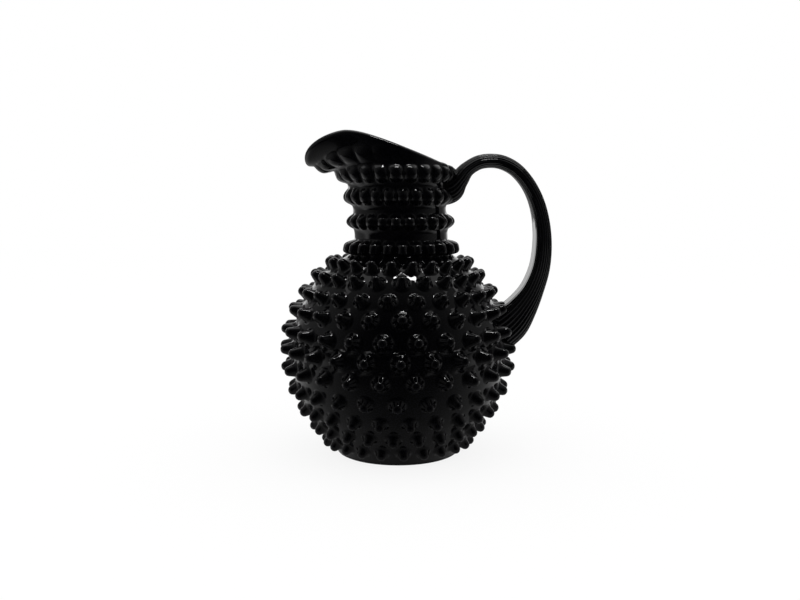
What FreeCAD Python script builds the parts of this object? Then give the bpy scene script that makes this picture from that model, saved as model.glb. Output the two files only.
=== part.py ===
import FreeCAD, Part
import math
import os

from FreeCAD import Placement, Rotation, Vector

# Hobnail glass jug with an applied reeded handle. Millimetres, +Z up.
# The origin is the middle of the ground base, on the jug's upright axis.
# The spout points to -X and the handle to +X.

# Height of the whole jug, from the table to the crown of the rim
jug_height = 240.0

# Blown wall of the bulb, without its hobs; the ground base cuts its ball off
bulb_r = 80.0
bulb_ground_cut = 5.0
shoulder_arc_r = 85.0
shoulder_hollow_r = 8.0
foot_r = 46.0
foot_edge_z = 2.0
base_disc_r = 43.5
wall = 4.5
base_thickness = 7.0

# Neck and mouth, without their beads; heights are shares of the neck's rise,
# which runs from the top of the shoulder to the crown of the rim
neck_r = 35.4
mouth_r = 40.3
rim_thickness = 6.0
neck_join_share = 0.311
flare_end_share = 0.696
rim_back_share = 0.693
spout_tip_share = 0.749
rim_bend_share = 0.2

# Pouring lip, bent outwards from the neck
lip_bend_r = 11.0
lip_angle_deg = 72.0
lip_start_share = 0.533
lip_squeeze_share = 0.27
spout_reach = 71.0
crown_x = -40.0
lip_pull_power = 3
lip_drop_power = 8

# Hobs stand in rows round the axis, each row half a step round from the next
hobs_per_row = 24
hob_height = 9.4
hob_tip_r = 2.9
hob_base_r = 5.9
hob_root_depth = 1.6

# The top row stands at a share of the shoulder's turn, the bottom row at a share of the
# straight foot. One entry for each row, from the shoulder down to the foot: its place
# along the stretch between them, the height and width of its hobs, and its twist
top_row_share = 0.844
bottom_row_share = 0.63
row_place_shares = [0.0, 0.095, 0.186, 0.286, 0.384, 0.478, 0.577, 0.684, 0.788, 0.895, 1.0]
row_height_shares = [0.85, 0.85, 0.87, 0.95, 1.0, 0.96, 0.91, 0.81, 0.75, 0.70, 0.62]
row_width_shares = [0.88, 0.92, 0.96, 1.0, 1.0, 1.0, 1.0, 0.96, 0.92, 0.88, 0.82]
row_twist_degs = [2.4, 2.6, 2.9, 2.3, 1.5, 0.7, 0.1, -0.6, -1.6, -2.8, -3.9]

# One entry for each bead row of the neck, from the shoulder up: its height as a share
# of the neck's rise, then the reach, half height and half width of its beads
bead_reach = 5.7
bead_half_height = 8.6
bead_end_r = 1.2
bead_place_shares = [0.014, 0.221, 0.433, 0.620, 0.766]
bead_reach_shares = [1.45, 1.0, 0.9, 0.62, 0.55]
bead_height_shares = [0.84, 1.0, 0.95, 0.77, 0.65]
bead_width_shares = [0.95, 0.94, 0.93, 0.88, 0.86]
bead_twist_degs = [1.8, 2.8, 3.2, 3.0, 3.0]
bead_rim_gap = 3.0

# How finely curved shapes are drawn
mouth_wall_rows = 12
mouth_rim_rows = 6
strap_poles = 16
halving_steps = 40
frame_step_share = 0.001
join_slack_share = 0.001

# Applied strap handle: its middle line in the XZ plane runs from the neck up, over and
# down to the bulb. Places are shares of the handle's reach from the axis and of the
# jug's height, then half thickness and half width are shares of the strap's sizes
handle_reach = 109.8
strap_thickness = 12.4
strap_width = 25.0
handle_x_shares = [0.273, 0.360, 0.421, 0.476, 0.556, 0.645, 0.733, 0.824, 0.906,
                   0.964, 0.995, 1.0, 0.980, 0.929, 0.862, 0.785, 0.700]
handle_z_shares = [0.821, 0.830, 0.853, 0.883, 0.905, 0.911, 0.904, 0.879, 0.833,
                   0.775, 0.708, 0.638, 0.569, 0.504, 0.450, 0.405, 0.372]
handle_thick_shares = [2.16, 2.06, 1.27, 0.95, 0.90, 0.88, 0.88, 0.87, 0.87,
                       0.92, 1.0, 1.1, 1.2, 1.4, 1.9, 2.75, 2.9]
handle_width_shares = [1.0, 1.0, 1.0, 0.98, 0.96, 0.95, 0.95, 0.96, 0.98,
                       1.0, 1.0, 1.0, 1.0, 1.0, 1.04, 1.12, 1.2]

up = Vector(0, 0, 1)
origin = Vector(0, 0, 0)

# Wall line worked out from the sizes above
bulb_centre_z = bulb_r - bulb_ground_cut
shoulder_centre_x = bulb_r - shoulder_arc_r
shoulder_angle = math.acos((neck_r - shoulder_centre_x + shoulder_hollow_r)
                           / (shoulder_arc_r + shoulder_hollow_r))
neck_start_z = bulb_centre_z + (shoulder_arc_r + shoulder_hollow_r) * math.sin(shoulder_angle)
foot_rise = bulb_centre_z - foot_edge_z
foot_angle = math.atan2(foot_rise, foot_r) - math.acos(bulb_r / math.hypot(foot_r, foot_rise))
foot_cone_length = math.sqrt(foot_r ** 2 + foot_rise ** 2 - bulb_r ** 2)
neck_rise = jug_height - neck_start_z
neck_join_z = neck_start_z + neck_join_share * neck_rise
flare_end_z = neck_start_z + flare_end_share * neck_rise
lip_start_z = neck_start_z + lip_start_share * neck_rise
rim_back_z = neck_start_z + rim_back_share * neck_rise
spout_tip_z = neck_start_z + spout_tip_share * neck_rise
lip_angle = math.radians(lip_angle_deg)
hob_step = 2 * math.pi / hobs_per_row


def polar(centre_x, centre_z, radius, angle):
    """Point of the XZ plane at an angle above +X round a centre."""
    return Vector(centre_x + radius * math.cos(angle), 0, centre_z + radius * math.sin(angle))


def arc_edge(centre_x, centre_z, radius, first, last):
    """Arc of the XZ plane between two angles."""
    ends = [polar(centre_x, centre_z, radius, first), polar(centre_x, centre_z, radius, last)]
    middle = polar(centre_x, centre_z, radius, (first + last) / 2)
    return Part.Arc(ends[0], middle, ends[1]).toShape()


def line_edge(first, last):
    """Straight edge between two points."""
    return Part.LineSegment(first, last).toShape()


def upper_wall_edges(inset):
    """Bulb above its widest line, shoulder and neck, moved in from the outside."""
    return [arc_edge(shoulder_centre_x, bulb_centre_z, shoulder_arc_r - inset, 0, shoulder_angle),
            arc_edge(neck_r + shoulder_hollow_r, neck_start_z, shoulder_hollow_r + inset,
                     math.pi + shoulder_angle, math.pi),
            line_edge(Vector(neck_r - inset, 0, neck_start_z), Vector(neck_r - inset, 0, neck_join_z))]


def lower_wall():
    """Wall of revolution from the ground base up to the join in the neck."""
    tangent = polar(0, bulb_centre_z, bulb_r, -foot_angle)
    foot = Vector(foot_r, 0, foot_edge_z)
    disc = Vector(base_disc_r, 0, 0)
    heel = foot_r - base_disc_r
    heel_middle = Vector(base_disc_r + heel * math.sin(math.pi / 4), 0,
                         foot_edge_z * (1 - math.cos(math.pi / 4)))
    outside = [line_edge(origin, disc), Part.Arc(disc, heel_middle, foot).toShape(),
               line_edge(foot, tangent),
               arc_edge(0, bulb_centre_z, bulb_r, -foot_angle, 0)] + upper_wall_edges(0)
    inner_r = bulb_r - wall
    floor_angle = -math.asin((bulb_centre_z - base_thickness) / inner_r)
    floor = Vector(0, 0, base_thickness)
    inside = [line_edge(floor, polar(0, bulb_centre_z, inner_r, floor_angle)),
              arc_edge(0, bulb_centre_z, inner_r, floor_angle, 0)] + upper_wall_edges(wall)
    ends = [line_edge(origin, floor),
            line_edge(Vector(neck_r, 0, neck_join_z), Vector(neck_r - wall, 0, neck_join_z))]
    outline = Part.Wire(Part.__sortEdges__(outside + inside + ends))
    return Part.Face(outline).revolve(origin, up, 360)


def neck_wall_r(height):
    """Outer radius of the neck and mouth at a height, before the lip is bent."""
    flare = min(max((height - neck_join_z) / (flare_end_z - neck_join_z), 0), 1)
    return neck_r + (mouth_r - neck_r) * flare ** 2 * (3 - 2 * flare)


def bent_lip(rise):
    """How far out and how far up a wall reaches that is bent at the lip."""
    bend = min(rise / lip_bend_r, lip_angle)
    straight = max(rise - lip_bend_r * lip_angle, 0)
    out = lip_bend_r * (1 - math.cos(bend)) + straight * math.sin(lip_angle)
    rise_left = lip_bend_r * math.sin(bend) + straight * math.cos(lip_angle)
    return out, rise_left


def mouth_point(height, angle):
    """Point of the outer surface: a plain height and angle, moved by the pulled lip."""
    radius = neck_wall_r(height)
    x = radius * math.cos(angle)
    y = radius * math.sin(angle)
    rise = max(height - lip_start_z, 0)
    out, rise_left = bent_lip(rise)
    nearness = (1 - math.cos(angle)) / 2
    pull = nearness ** lip_pull_power
    drop = nearness ** lip_drop_power
    squeeze = 1 - lip_squeeze_share * pull * out / mouth_r
    return Vector(x - pull * out, y * squeeze, height - drop * (rise - rise_left))


def rim_z(x):
    """Height of the rim over a place along the jug: crown, long slope and pouring tip."""
    if x < crown_x:
        along = min((crown_x - x) / (spout_reach + crown_x), 1)
        return spout_tip_z + (jug_height - spout_tip_z) * math.sqrt(1 - along ** 1.5)
    along = (x - crown_x) / (mouth_r - crown_x)
    eased = math.hypot(along, rim_bend_share) - rim_bend_share
    full = math.hypot(1, rim_bend_share) - rim_bend_share
    return jug_height - (jug_height - rim_back_z) * eased / full


def rim_height(angle):
    """Plain height at which the wall meets the rim, found by halving."""
    low = neck_join_z
    high = jug_height + mouth_r
    for step in range(halving_steps):
        middle = (low + high) / 2
        point = mouth_point(middle, angle)
        if point.z < rim_z(point.x):
            low = middle
        else:
            high = middle
    return low


def mouth_frame(height, angle):
    """Point, outward normal and direction along the wall at a plain height and angle."""
    step = frame_step_share * mouth_r
    point = mouth_point(height, angle)
    along = mouth_point(height + step, angle) - mouth_point(height - step, angle)
    around = mouth_point(height, angle + frame_step_share) - mouth_point(height, angle - frame_step_share)
    normal = around.cross(along)
    return point, normal.normalize(), along.normalize()


def mouth_column(angle, wall_rows, rim_rows):
    """Points of one upright line: up the outside, over the rounded rim, down the inside."""
    top = rim_height(angle) - rim_thickness / 2
    heights = [neck_join_z + (top - neck_join_z) * row / wall_rows for row in range(wall_rows + 1)]
    outside = []
    inside = []
    for row, height in enumerate(heights):
        point, normal, along = mouth_frame(height, angle)
        thickness = wall + (rim_thickness - wall) * (row / wall_rows) ** 3
        if row == 0:
            normal = Vector(math.cos(angle), math.sin(angle), 0)
        outside.append(point)
        inside.append(point - normal * thickness)
    middle = (outside[-1] + inside[-1]) * 0.5
    rounding = []
    for row in range(1, rim_rows):
        turn = math.pi * row / rim_rows
        offset = normal * math.cos(turn) + along * math.sin(turn)
        rounding.append(middle + offset * (rim_thickness / 2))
    return outside + rounding + inside[::-1]


def largest(shape):
    """The largest solid of a shape."""
    return max(shape.Solids, key=lambda solid: solid.Volume)


def closed_solid(faces):
    """Solid inside a set of faces that close it."""
    skin = Part.Compound(faces)
    skin.sewShape()
    solid = Part.Solid(skin.Shells[0])
    if solid.Volume < 0:
        solid.reverse()
    return solid


def mouth():
    """Upper neck, mouth and pouring lip as one closed wall above the join."""
    columns = 2 * hobs_per_row
    angles = [2 * math.pi * column / columns for column in range(columns + 1)]
    grid = [mouth_column(angle, mouth_wall_rows, mouth_rim_rows) for angle in angles]
    grid[-1] = grid[0]
    surface = Part.BSplineSurface()
    surface.interpolate(grid)
    skin = surface.toShape()
    rings = [edge for edge in skin.Edges if edge.BoundBox.ZMax < neck_join_z + wall / 2]
    rings.sort(key=lambda edge: edge.BoundBox.XLength)
    seat = Part.Face([Part.Wire(rings[-1]), Part.Wire(rings[0])])
    return closed_solid([skin, seat])


def wall_place(share):
    """Place on the bulb's outside and the angle of its normal, for a row's share."""
    upper_length = shoulder_arc_r * shoulder_angle * top_row_share
    lower_length = bulb_r * foot_angle
    whole = upper_length + lower_length + foot_cone_length * bottom_row_share
    length = share * whole
    if length < upper_length:
        angle = (upper_length - length) / shoulder_arc_r
        return polar(shoulder_centre_x, bulb_centre_z, shoulder_arc_r, angle), angle
    length -= upper_length
    if length < lower_length:
        angle = -length / bulb_r
        return polar(0, bulb_centre_z, bulb_r, angle), angle
    length -= lower_length
    tangent = polar(0, bulb_centre_z, bulb_r, -foot_angle)
    down = Vector(-math.sin(foot_angle), 0, -math.cos(foot_angle))
    return tangent + down * length, -foot_angle


def hob(height, base_r):
    """One pointed hob on the XY plane: a cone that runs into a round tip."""
    tip_z = height - hob_tip_r
    flank = math.acos(hob_tip_r / math.hypot(base_r, tip_z)) - math.atan2(tip_z, base_r)
    tip_start = polar(0, tip_z, hob_tip_r, flank)
    tip_middle = polar(0, tip_z, hob_tip_r, (flank + math.pi / 2) / 2)
    root = Vector(base_r + hob_root_depth * math.tan(flank), 0, -hob_root_depth)
    axis_root = Vector(0, 0, -hob_root_depth)
    top = Vector(0, 0, height)
    outline = Part.Wire([line_edge(axis_root, root), line_edge(root, tip_start),
                         Part.Arc(tip_start, tip_middle, top).toShape(), line_edge(top, axis_root)])
    return Part.Face(outline).revolve(origin, up, 360)


def row_of_hobs(row, wall_solid):
    """One row of hobs, each seated face to face on the round wall."""
    place, angle = wall_place(row_place_shares[row])
    normal = Vector(math.cos(angle), 0, math.sin(angle))
    first = hob(hob_height * row_height_shares[row], hob_base_r * row_width_shares[row])
    first.Placement = Placement(place, Rotation(up, normal))
    first = largest(first.cut(wall_solid))
    stagger = 0.5 if row % 2 == 0 else 0.0
    solids = []
    for step in range(hobs_per_row):
        copy = first.copy()
        copy.rotate(origin, up, math.degrees(hob_step * (step + stagger)) + row_twist_degs[row])
        solids.append(copy)
    return solids


def bead(half_height, half_width):
    """One upright bead: a barrel about its own axis, with small blunt ends."""
    low = Vector(bead_end_r, 0, -half_height)
    high = Vector(bead_end_r, 0, half_height)
    axis_low = Vector(0, 0, -half_height)
    axis_high = Vector(0, 0, half_height)
    outline = Part.Wire([line_edge(axis_low, low), Part.Arc(low, Vector(half_width, 0, 0), high).toShape(),
                         line_edge(high, axis_high), line_edge(axis_high, axis_low)])
    return Part.Face(outline).revolve(origin, up, 360)


def row_of_beads(row, body_solid):
    """One row of beads, seated on the wall; where the rim comes too low there are none."""
    height = neck_start_z + bead_place_shares[row] * neck_rise
    half_height = bead_half_height * bead_height_shares[row]
    half_width = math.pi * neck_wall_r(height) / hobs_per_row * bead_width_shares[row]
    sink = bead_reach * bead_reach_shares[row] - half_width
    first = bead(half_height, half_width)
    stagger = 0.5 if row % 2 == 1 else 0.0
    solids = []
    for step in range(hobs_per_row):
        angle = hob_step * (step + stagger) + math.radians(bead_twist_degs[row])
        if height + half_height + bead_rim_gap > rim_height(angle):
            continue
        point, normal, along = mouth_frame(height, angle)
        copy = first.copy()
        copy.Placement = Placement(point + normal * sink, Rotation(up, along))
        solids.append(largest(copy.cut(body_solid)))
    return solids


def smooth_line(values, samples):
    """Evenly spaced samples of a smooth curve through a list of numbers."""
    points = [Vector(place, value, 0) for place, value in enumerate(values)]
    places = [point.x for point in points]
    curve = Part.BSplineCurve()
    curve.interpolate(Points=points, Parameters=places)
    return [curve.value(places[-1] * step / samples).y for step in range(samples + 1)]


def handle_ring(centre, outward, half_thickness, half_width):
    """Poles of one cross-section: an oval strap."""
    poles = []
    for step in range(strap_poles):
        angle = 2 * math.pi * step / strap_poles
        across = half_width * math.cos(angle)
        through = half_thickness * math.sin(angle)
        poles.append(centre + outward * through + Vector(0, 1, 0) * across)
    return poles


def handle_strap():
    """The whole strap along its curved middle line, before it meets the body."""
    samples = 2 * (len(handle_x_shares) - 1)
    xs = smooth_line([handle_reach * share for share in handle_x_shares], samples)
    zs = smooth_line([jug_height * share for share in handle_z_shares], samples)
    thicks = smooth_line([strap_thickness / 2 * share for share in handle_thick_shares], samples)
    widths = smooth_line([strap_width / 2 * share for share in handle_width_shares], samples)
    rings = []
    for step in range(samples + 1):
        before = max(step - 1, 0)
        after = min(step + 1, samples)
        along = Vector(xs[after] - xs[before], 0, zs[after] - zs[before]).normalize()
        outward = along.cross(Vector(0, 1, 0))
        rings.append(handle_ring(Vector(xs[step], 0, zs[step]), outward, thicks[step], widths[step]))
    around = len(rings[0])
    inner_knots = len(rings) - 3
    surface = Part.BSplineSurface()
    surface.buildFromPolesMultsKnots(rings, [4] + [1] * (inner_knots - 1) + [4], [1] * (around + 1),
                                     list(range(inner_knots + 1)), list(range(around + 1)),
                                     False, True, 3, 3)
    skin = surface.toShape()
    caps = [Part.Face(Part.Wire(surface.uIso(place).toShape())) for place in (0, inner_knots)]
    return closed_solid([skin] + caps)


def seat_on(strap, neighbours):
    """Cut a strap by every neighbour that it reaches, so that it meets each face to face."""
    reached = [solid for solid in neighbours if strap.BoundBox.intersect(solid.BoundBox)]
    return largest(strap.cut(reached))


os.makedirs("parts", exist_ok=True)
round_wall = lower_wall()
body = largest(round_wall.fuse([mouth()], join_slack_share * wall))
hobs = []
for row in range(len(row_place_shares)):
    hobs += row_of_hobs(row, round_wall)
beads = []
for row in range(len(bead_place_shares)):
    beads += row_of_beads(row, body)
handle = seat_on(handle_strap(), [body] + hobs + beads)
nodes = {"body": body, "bulb_hobs": Part.Compound(hobs),
         "neck_beads": Part.Compound(beads), "handle": handle}
for name, shape in nodes.items():
    shape.exportStep("parts/" + name + ".step")
    box = shape.BoundBox
    print(name, "valid", shape.isValid(), "solids", len(shape.Solids), "volume", round(shape.Volume),
          "x", round(box.XMin, 2), round(box.XMax, 2), "y", round(box.YMin, 2), round(box.YMax, 2),
          "z", round(box.ZMin, 2), round(box.ZMax, 2))
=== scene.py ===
"""Dresses the hobnail glass jug: one skin of black glass with its hobs, beads, mouth and
pouring lip, the reeded handle, and the studio that it stands in."""

import math

import bmesh
import bpy
import numpy as np
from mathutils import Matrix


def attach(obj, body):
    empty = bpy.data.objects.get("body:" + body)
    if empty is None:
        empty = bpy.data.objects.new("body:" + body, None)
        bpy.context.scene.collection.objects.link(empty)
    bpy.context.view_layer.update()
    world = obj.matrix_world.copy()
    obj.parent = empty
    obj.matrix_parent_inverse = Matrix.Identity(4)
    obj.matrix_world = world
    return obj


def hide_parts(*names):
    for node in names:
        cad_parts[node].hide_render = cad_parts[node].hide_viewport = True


bl_info = {
    "name": "Hobnail Glass Jug",
    "version": (1, 0, 0),
    "blender": (4, 5, 0),
    "location": "3D View > Sidebar > Hobnail Jug",
    "description": "Builds the glass skin, the reeded handle and the studio of a hobnail jug",
    "category": "Add Mesh",
}

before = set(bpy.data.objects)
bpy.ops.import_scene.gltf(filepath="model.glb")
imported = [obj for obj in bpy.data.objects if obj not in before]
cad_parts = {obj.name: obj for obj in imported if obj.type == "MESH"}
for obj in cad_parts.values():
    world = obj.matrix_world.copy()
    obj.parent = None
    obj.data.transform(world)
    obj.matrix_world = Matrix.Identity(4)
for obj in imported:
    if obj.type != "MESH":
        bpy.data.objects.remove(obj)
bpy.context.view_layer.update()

MM = 0.001

# The curve of sRGB: a straight part near black, then a power
SRGB_BREAK = 0.04045
SRGB_SLOPE = 12.92
SRGB_OFFSET = 0.055
SRGB_POWER = 2.4

# Blown wall, in millimetres, as the solid body has it
BULB_R = 80.0
BULB_Z = 75.0
SHOULDER_R = 85.0
HOLLOW_R = 8.0
FOOT_R = 46.0
FOOT_EDGE_Z = 2.0
DISC_R = 43.5
WALL = 4.5
FLOOR = 7.0
NECK_R = 35.4
MOUTH_R = 40.3
RIM_THICKNESS = 6.0
JUG_HEIGHT = 240.0

# Pouring lip and rim. The powers say how closely the lip's pull, drop and swelling keep to its
# middle, how blunt the rim's beak is, and how soon the rim's thickness passes into the wall's.
LIP_BEND_R = 11.0
LIP_ANGLE = math.radians(72.0)
LIP_SQUEEZE = 0.27
LIP_PULL_POWER = 3
LIP_DROP_POWER = 8
SPOUT_REACH = 71.0
CROWN_X = -40.0
BEAK_POWER = 1.5
RIM_BEND = 0.2
TIP_CUT_SLOPE = 20.0
TIP_SWELLING = 3.0
TIP_SWELLING_LENGTH = 15.0
TIP_SWELLING_POWER = 10
RIM_BLEND_POWER = 6

# Heights on the neck as shares of its rise
NECK_JOIN_SHARE = 0.311
FLARE_END_SHARE = 0.696
LIP_START_SHARE = 0.533
RIM_BACK_SHARE = 0.693
SPOUT_TIP_SHARE = 0.749

# Wall line worked out from the sizes above
SHOULDER_X = BULB_R - SHOULDER_R
SHOULDER_TURN = math.acos((NECK_R - SHOULDER_X + HOLLOW_R) / (SHOULDER_R + HOLLOW_R))
NECK_START_Z = BULB_Z + (SHOULDER_R + HOLLOW_R) * math.sin(SHOULDER_TURN)
NECK_RISE = JUG_HEIGHT - NECK_START_Z
NECK_JOIN_Z = NECK_START_Z + NECK_JOIN_SHARE * NECK_RISE
FLARE_END_Z = NECK_START_Z + FLARE_END_SHARE * NECK_RISE
LIP_START_Z = NECK_START_Z + LIP_START_SHARE * NECK_RISE
RIM_BACK_Z = NECK_START_Z + RIM_BACK_SHARE * NECK_RISE
SPOUT_TIP_Z = NECK_START_Z + SPOUT_TIP_SHARE * NECK_RISE
PLAIN_TOP_Z = JUG_HEIGHT + MOUTH_R
FOOT_TURN = (math.atan2(BULB_Z - FOOT_EDGE_Z, FOOT_R)
             - math.acos(BULB_R / math.hypot(FOOT_R, BULB_Z - FOOT_EDGE_Z)))
FOOT_CONE = math.sqrt(FOOT_R ** 2 + (BULB_Z - FOOT_EDGE_Z) ** 2 - BULB_R ** 2)

# Samples of the wall line: heel, cone over the foot, bulb, shoulder, hollow and neck
HEEL_SAMPLES = 8
CONE_SAMPLES = 60
BULB_SAMPLES = 300
SHOULDER_SAMPLES = 500
HOLLOW_SAMPLES = 80
NECK_SAMPLES = 600

# Radius and height of the rings of the base, from its shallow kick out to the ground disc
BASE_RINGS = [(4.0, 0.9), (20.0, 0.85), (33.0, 0.7), (36.0, 0.0), (40.0, 0.0)]

# Hobs of the bulb. The hobbed stretch runs from a share of the shoulder's turn down to a
# share of the cone over the foot. No hob or bead reaches further along the wall than the last.
HOBS_PER_ROW = 24
HOB_HEIGHT = 9.4
HOB_TIP_R = 3.3
HOB_FLANK = math.radians(18.0)
HOB_FOOT_R = 2.0
TOP_ROW_SHARE = 0.844
BOTTOM_ROW_SHARE = 0.63
RELIEF_REACH = 16.0

# One entry a row from the shoulder down: place along the hobbed stretch, height as a share
# of the usual one, and twist in degrees
HOB_PLACES = [0.0, 0.092, 0.193, 0.291, 0.394, 0.484, 0.580, 0.690, 0.799, 0.906, 1.008]
HOB_HEIGHTS = [0.83, 0.85, 0.87, 0.97, 1.04, 1.0, 0.93, 0.81, 0.75, 0.70, 0.62]
HOB_TWISTS = [1.6, 1.8, 2.1, 1.5, 0.9, 0.7, -0.3, -0.7, -1.8, -3.0, -4.1]

# Rings and spokes of points round a hob: shares of its tip's edge, then its foot and the wall
# just outside. No ring goes further out than its limit, a share of the way to the cell's border.
HOB_SPOKES = 24
SPOKES_PER_SIDE = HOB_SPOKES // 4
HOB_TIP_RINGS = [0.0, 0.45, 0.8, 1.0]
HOB_WALL_RING = 0.6
HOB_RING_LIMITS = [1.0, 1.0, 1.0, 1.0, 0.84, 0.92, 0.96, 1.0]

# Beads of the neck, one entry a row from the shoulder up: place as a share of the neck's rise,
# reach, half height, twist in degrees, bluntness of the ends, how much of the reach the ring
# under the ribs takes, and how much of the half height the ribs take
BEAD_PLACES = [-0.016, 0.215, 0.433, 0.625, 0.80]
BEAD_REACHES = [8.6, 5.9, 5.6, 4.6, 4.2]
BEAD_HALF_HEIGHTS = [6.8, 8.6, 8.9, 8.6, 8.6]
BEAD_TWISTS = [1.0, 2.8, 4.9, 6.1, 3.0]
BEAD_BLUNTNESS = [4.0, 2.1, 2.3, 2.4, 2.1]
BEAD_RING_SHARES = [0.15, 0.3, 0.3, 0.3, 0.3]
BEAD_BODY_SHARES = [0.86, 0.66, 0.72, 0.76, 0.8]

# Shape of every rib: roundness of its ends, its width along it, and roundness of its sides
BEAD_END_POWER = 0.85
BEAD_WIDTH = 0.94
BEAD_LEAST_WIDTH = 0.02
BEAD_WIDTH_POWER = 0.25
BEAD_SIDE_BLUNTNESS = 1.9
BEAD_SIDE_POWER = 0.65

# Top beads fade towards the handle, and all beads fade where they run under the rim
TOP_BEAD_FADE = 2.5
RIM_FADE_START = 0.1
RIM_FADE_LENGTH = 0.8

# The two halves of the mould stand a little apart in front, which parts the hobs there
SEAM_TURN = math.radians(-93.0)
SEAM_SHIFT = math.radians(1.35)
SEAM_SOFTNESS = 0.15

# Rows of points on the wall, rim and floor, and columns round the neck. The neck's rows are
# level up to a height, and follow the rim above it.
LEVEL_TOP_Z = 199.6
FIRST_ROW_GAP = 0.9
NECK_COLUMNS = 288
FOOT_ROWS = 9
LEVEL_ROWS = 56
UPPER_ROWS = 31
RIM_ROWS = 11
INNER_ROWS = 26
FLOOR_ROWS = 9

# Steps along and round the wall that give its slopes, halvings that find the rim, distance
# under which points merge, and height at which the bulb's shape gives way to the neck's
LENGTH_STEP = 0.4
TURN_STEP = 0.004
RIM_HALVINGS = 40
MERGE_DISTANCE = 0.01
BULB_TOP_Z = 140.0

# Middle line, thickness and width of the handle, from the neck to the bulb, as shares of its
# reach, of the jug's height and of the strap's sizes
HANDLE_REACH = 109.8
STRAP_THICKNESS = 12.4
STRAP_WIDTH = 25.0
HANDLE_X = [0.273, 0.360, 0.421, 0.476, 0.556, 0.645, 0.733, 0.824, 0.906,
            0.964, 0.995, 1.0, 0.980, 0.929, 0.862, 0.785, 0.700]
HANDLE_Z = [0.821, 0.830, 0.853, 0.883, 0.905, 0.911, 0.904, 0.879, 0.833,
            0.775, 0.708, 0.638, 0.569, 0.504, 0.450, 0.405, 0.372]
HANDLE_THICK = [2.16, 2.06, 1.27, 0.95, 0.90, 0.88, 0.88, 0.87, 0.87,
                0.92, 1.0, 1.1, 1.2, 1.4, 1.85, 2.35, 2.5]
HANDLE_WIDTH = [1.0, 1.0, 1.0, 0.98, 0.96, 0.95, 0.95, 0.96, 0.98,
                1.0, 1.0, 1.0, 1.0, 1.0, 1.04, 1.12, 1.2]

# Roundness of the strap's section, 1 for an oval and less for a squarer one: outside, inside
# where it is round, and inside where it is flat. There the widest place is off the middle.
OUTER_ROUNDNESS = 0.9
ROUND_INSIDE = 0.9
FLAT_INSIDE = 0.45
WIDEST_SHARE = 0.5

# Flatness of the inside and depth of the reeds along the strap, the smooth face's girth where
# it is flat and where it is round, its level between the reeds' bottoms and tops, and the
# number of sections and points
FLATNESS = [0.0, 0.0, 0.0, 0.0, 0.1, 0.3, 0.8, 1.0, 1.0, 1.0, 1.0]
SMOOTH_FACE = 19.0
LEAST_SMOOTH_FACE = 5.0
SMOOTH_FACE_RISE = 0.5
REED_DEPTHS = [1.2, 1.2, 0.9, 0.8, 0.8, 0.85, 0.95, 1.0, 1.1, 1.4, 1.4]
STRAP_STATIONS = 170
POINTS_PER_REED = 6
SMOOTH_FACE_POINTS = 10
GIRTH_SAMPLES = 721

# Brightness of the surroundings as the glass mirrors them, from the front to the back, and
# how much the sides count as back
SURROUNDINGS = [(-1.0, 0.0), (-0.8, 0.006), (-0.6, 0.022), (-0.4, 0.055), (-0.1, 0.11),
                (0.2, 0.16), (0.78, 0.15), (0.93, 0.35), (1.0, 1.0)]
SURROUNDINGS_SIDE_SHARE = 0.2
SURROUNDINGS_SIDE_LIMIT = 1.0

# Painted shade and light on the paper that only the glass sees: to glossy rays the paper glows at
# these levels, from one metre in front to one behind, darker in front of the jug and lighter
# behind it.
# Also how much the sides count as back, and how much of the paper's own shading the camera sees
PAINTED_PAPER_REFLECTION = [(-1.0, 0.01), (-0.22, 0.012), (-0.13, 0.03), (-0.075, 0.07), (-0.03, 0.13),
                  (0.06, 0.24), (0.15, 0.45), (0.35, 0.6), (0.7, 0.3), (1.0, 0.2)]
PAPER_SIDE_SHARE = 0.5
PAPER_SIDE_LIMIT = 0.5
PAPER_SHADING = 0.13
PAPER_HALF = 3.0

# The blown neck stands a little off the axis towards the handle
NECK_LEAN = 2.5
LEAN_START_Z = 128.0
LEAN_MOST_Z = 153.0
LEAN_END_Z = 207.0

# Soda glass, and the waves that the mould leaves in it: how many over the jug's height, their
# detail and roughness, and how deep and strong they are
GLASS_NAME = "black_soda_glass"
GLASS_IOR = 1.52
WAVES_OVER_HEIGHT = 10.8
WAVE_DETAIL = 1.0
WAVE_ROUGHNESS = 0.4
WAVE_DEPTH = 0.6
WAVE_STRENGTH = 0.25

# Lamp over the jug, and panels that only the glass mirrors: name, middle, size and brightness.
# Places and sizes are in metres, the lamp's energy is in watts.
LAMP_PLACE = (0.1, -0.2, 1.8)
LAMP_SIZE = (1.2, 0.9)
LAMP_ENERGY = 3.0
PANEL_Z = 1.13
PANELS = [("small_softbox", (0.1, -0.165, PANEL_Z), (0.36, 0.06), 24.0),
          ("wide_softbox", (0.0, 0.1, PANEL_Z), (2.0, 0.4), 0.6),
          ("back_softbox_left", (-0.28, 0.8, PANEL_Z), (0.9, 1.1), 1.0),
          ("back_softbox_right", (0.72, 0.8, PANEL_Z), (0.9, 1.1), 1.0)]

# The photograph's camera: place in metres, sizes and places in its pixels, and sensor width
EYE_PLACE = (0.0, -0.684, 0.1877)
PHOTO_WIDTH = 800.0
PHOTO_HEIGHT = 600.0
FOCAL_PIXELS = 900.0
AXIS_COLUMN = 398.0
HORIZON_ROW = 201.6
SENSOR_WIDTH = 36.0
NEAREST_SEEN = 0.01


def linear_colour(hex_text):
    """Linear RGBA of an sRGB hex colour."""
    parts = [int(hex_text[place:place + 2], 16) / 255 for place in (0, 2, 4)]
    return tuple(part / SRGB_SLOPE if part <= SRGB_BREAK
                 else ((part + SRGB_OFFSET) / (1 + SRGB_OFFSET)) ** SRGB_POWER
                 for part in parts) + (1.0,)


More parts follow.
